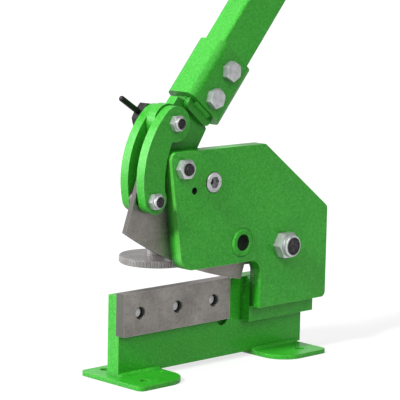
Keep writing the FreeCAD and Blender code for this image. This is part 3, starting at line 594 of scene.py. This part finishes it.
def make_stage():
    """Plain white floor that keeps the object's shadow.

    It glows only as the camera, gloss and glass see it, and not inside the holes of the feet,
    where the missing glow is painted shade that makes them look deep.
    """
    mesh = bpy.data.meshes.new("floor")
    half = 14.0
    mesh.from_pydata([(-half, -half, 0), (half, -half, 0), (half, half, 0), (-half, half, 0)],
                     [], [(0, 1, 2, 3)])
    floor = bpy.data.objects.new("floor", mesh)
    floor.location.z = -0.0002
    scene.collection.objects.link(floor)
    tree = Tree("floor_paper")
    colour = tree.blend(tree.noise(3, 2), (0.27, 0.27, 0.27), (0.29, 0.29, 0.29))
    roughness = tree.span(tree.noise(40, 2), 0.3, 0.7, 0.85, 0.95)
    normal = tree.bump(tree.noise(200, 2), 0.0002, 0.2)
    material = tree.finish(colour, roughness, normal, Specular_IOR_Level=0.1)
    shader = next(node for node in tree.nodes if node.type == "BSDF_PRINCIPLED")
    shader.inputs["Emission Color"].default_value = (1, 1, 1, 1)
    path = tree.add("ShaderNodeLightPath").outputs
    seen = path["Is Camera Ray"]
    for ray in ("Is Glossy Ray", "Is Transmission Ray"):
        either = tree.add("ShaderNodeMath", operation="MAXIMUM")
        tree.join(seen, either.inputs[0])
        tree.join(path[ray], either.inputs[1])
        seen = either.outputs[0]
    # painted shade: no glow on the floor inside the feet's holes
    for x, y in bench_holes:
        lit = tree.add("ShaderNodeMath", operation="SUBTRACT")
        tree.join(seen, lit.inputs[0])
        tree.join(tree.near_axis((x, y, 0), "Z", bench_hole_radius), lit.inputs[1])
        seen = lit.outputs[0]
    tree.join(tree.span(seen, 0, 1, 0, 0.70), shader.inputs["Emission Strength"])
    floor.data.materials.append(material)


def make_world():
    """White sweep behind the object, dimmer room on the camera's side, white to the camera."""
    world = bpy.data.worlds.new("studio")
    scene.world = world
    world.use_nodes = True
    nodes, links = world.node_tree.nodes, world.node_tree.links
    nodes.clear()
    split = nodes.new("ShaderNodeSeparateXYZ")
    links.new(nodes.new("ShaderNodeTexCoord").outputs["Generated"], split.inputs[0])
    sweep = nodes.new("ShaderNodeMapRange")
    for key, value in (("From Min", -0.4), ("From Max", 0.5), ("To Min", 0.16), ("To Max", 0.90)):
        sweep.inputs[key].default_value = value
    links.new(split.outputs["Y"], sweep.inputs["Value"])
    light = nodes.new("ShaderNodeBackground")
    light.inputs["Color"].default_value = (1, 1, 1, 1)
    links.new(sweep.outputs["Result"], light.inputs["Strength"])
    white = nodes.new("ShaderNodeBackground")
    white.inputs["Color"].default_value = (1, 1, 1, 1)
    mix = nodes.new("ShaderNodeMixShader")
    links.new(nodes.new("ShaderNodeLightPath").outputs["Is Camera Ray"], mix.inputs[0])
    links.new(light.outputs[0], mix.inputs[1])
    links.new(white.outputs[0], mix.inputs[2])
    output = nodes.new("ShaderNodeOutputWorld")
    links.new(mix.outputs[0], output.inputs[0])


def make_lamp(name, azimuth, elevation, spread, strength, gloss_only=False):
    """Soft distant lamp at an azimuth and elevation counted as the camera's are."""
    back = towards(math.radians(azimuth), math.radians(elevation))
    data = bpy.data.lights.new(name, "SUN")
    data.angle = math.radians(spread)
    data.energy = strength * math.pi
    lamp = bpy.data.objects.new(name, data)
    scene.collection.objects.link(lamp)
    lamp.location = back * 3
    lamp.visible_diffuse = not gloss_only
    lamp.rotation_mode = "QUATERNION"
    lamp.rotation_quaternion = (-back).to_track_quat("-Z", "Y")


make_camera()
materials = {make.__name__: make() for make in
             (green_paint, blade_steel, zinc_plate, turned_steel, black_steel, black_plastic)}
dress_cad(materials)
plain_nut("lever_pivot_nut", "frame", plain_nut_height, materials["zinc_plate"])
for node, body, outward in (("blade_pivot_nut", "frame", -1), ("link_nuts", "links", -1),
                            ("arm_nut", "frame", 1), ("socket_nuts", "lever", 1)):
    nut_rings(node, body, outward, materials["black_plastic"])
weld_beads("foot_welds", "frame", 1,
           lambda low, high: -1 if (low.y + high.y) / 2 < middle("base_plate")[1] else 1,
           materials["green_paint"])
weld_beads("spacer_welds", "frame", -1, lambda low, high: -1, materials["green_paint"])
make_stage()
make_world()
make_lamp("key_lamp", -85, 38, 9, 1.12)
make_lamp("fill_lamp", -18, 36, 45, 0.33)
make_lamp("side_panel", -136, 14, 50, 1.10, gloss_only=True)
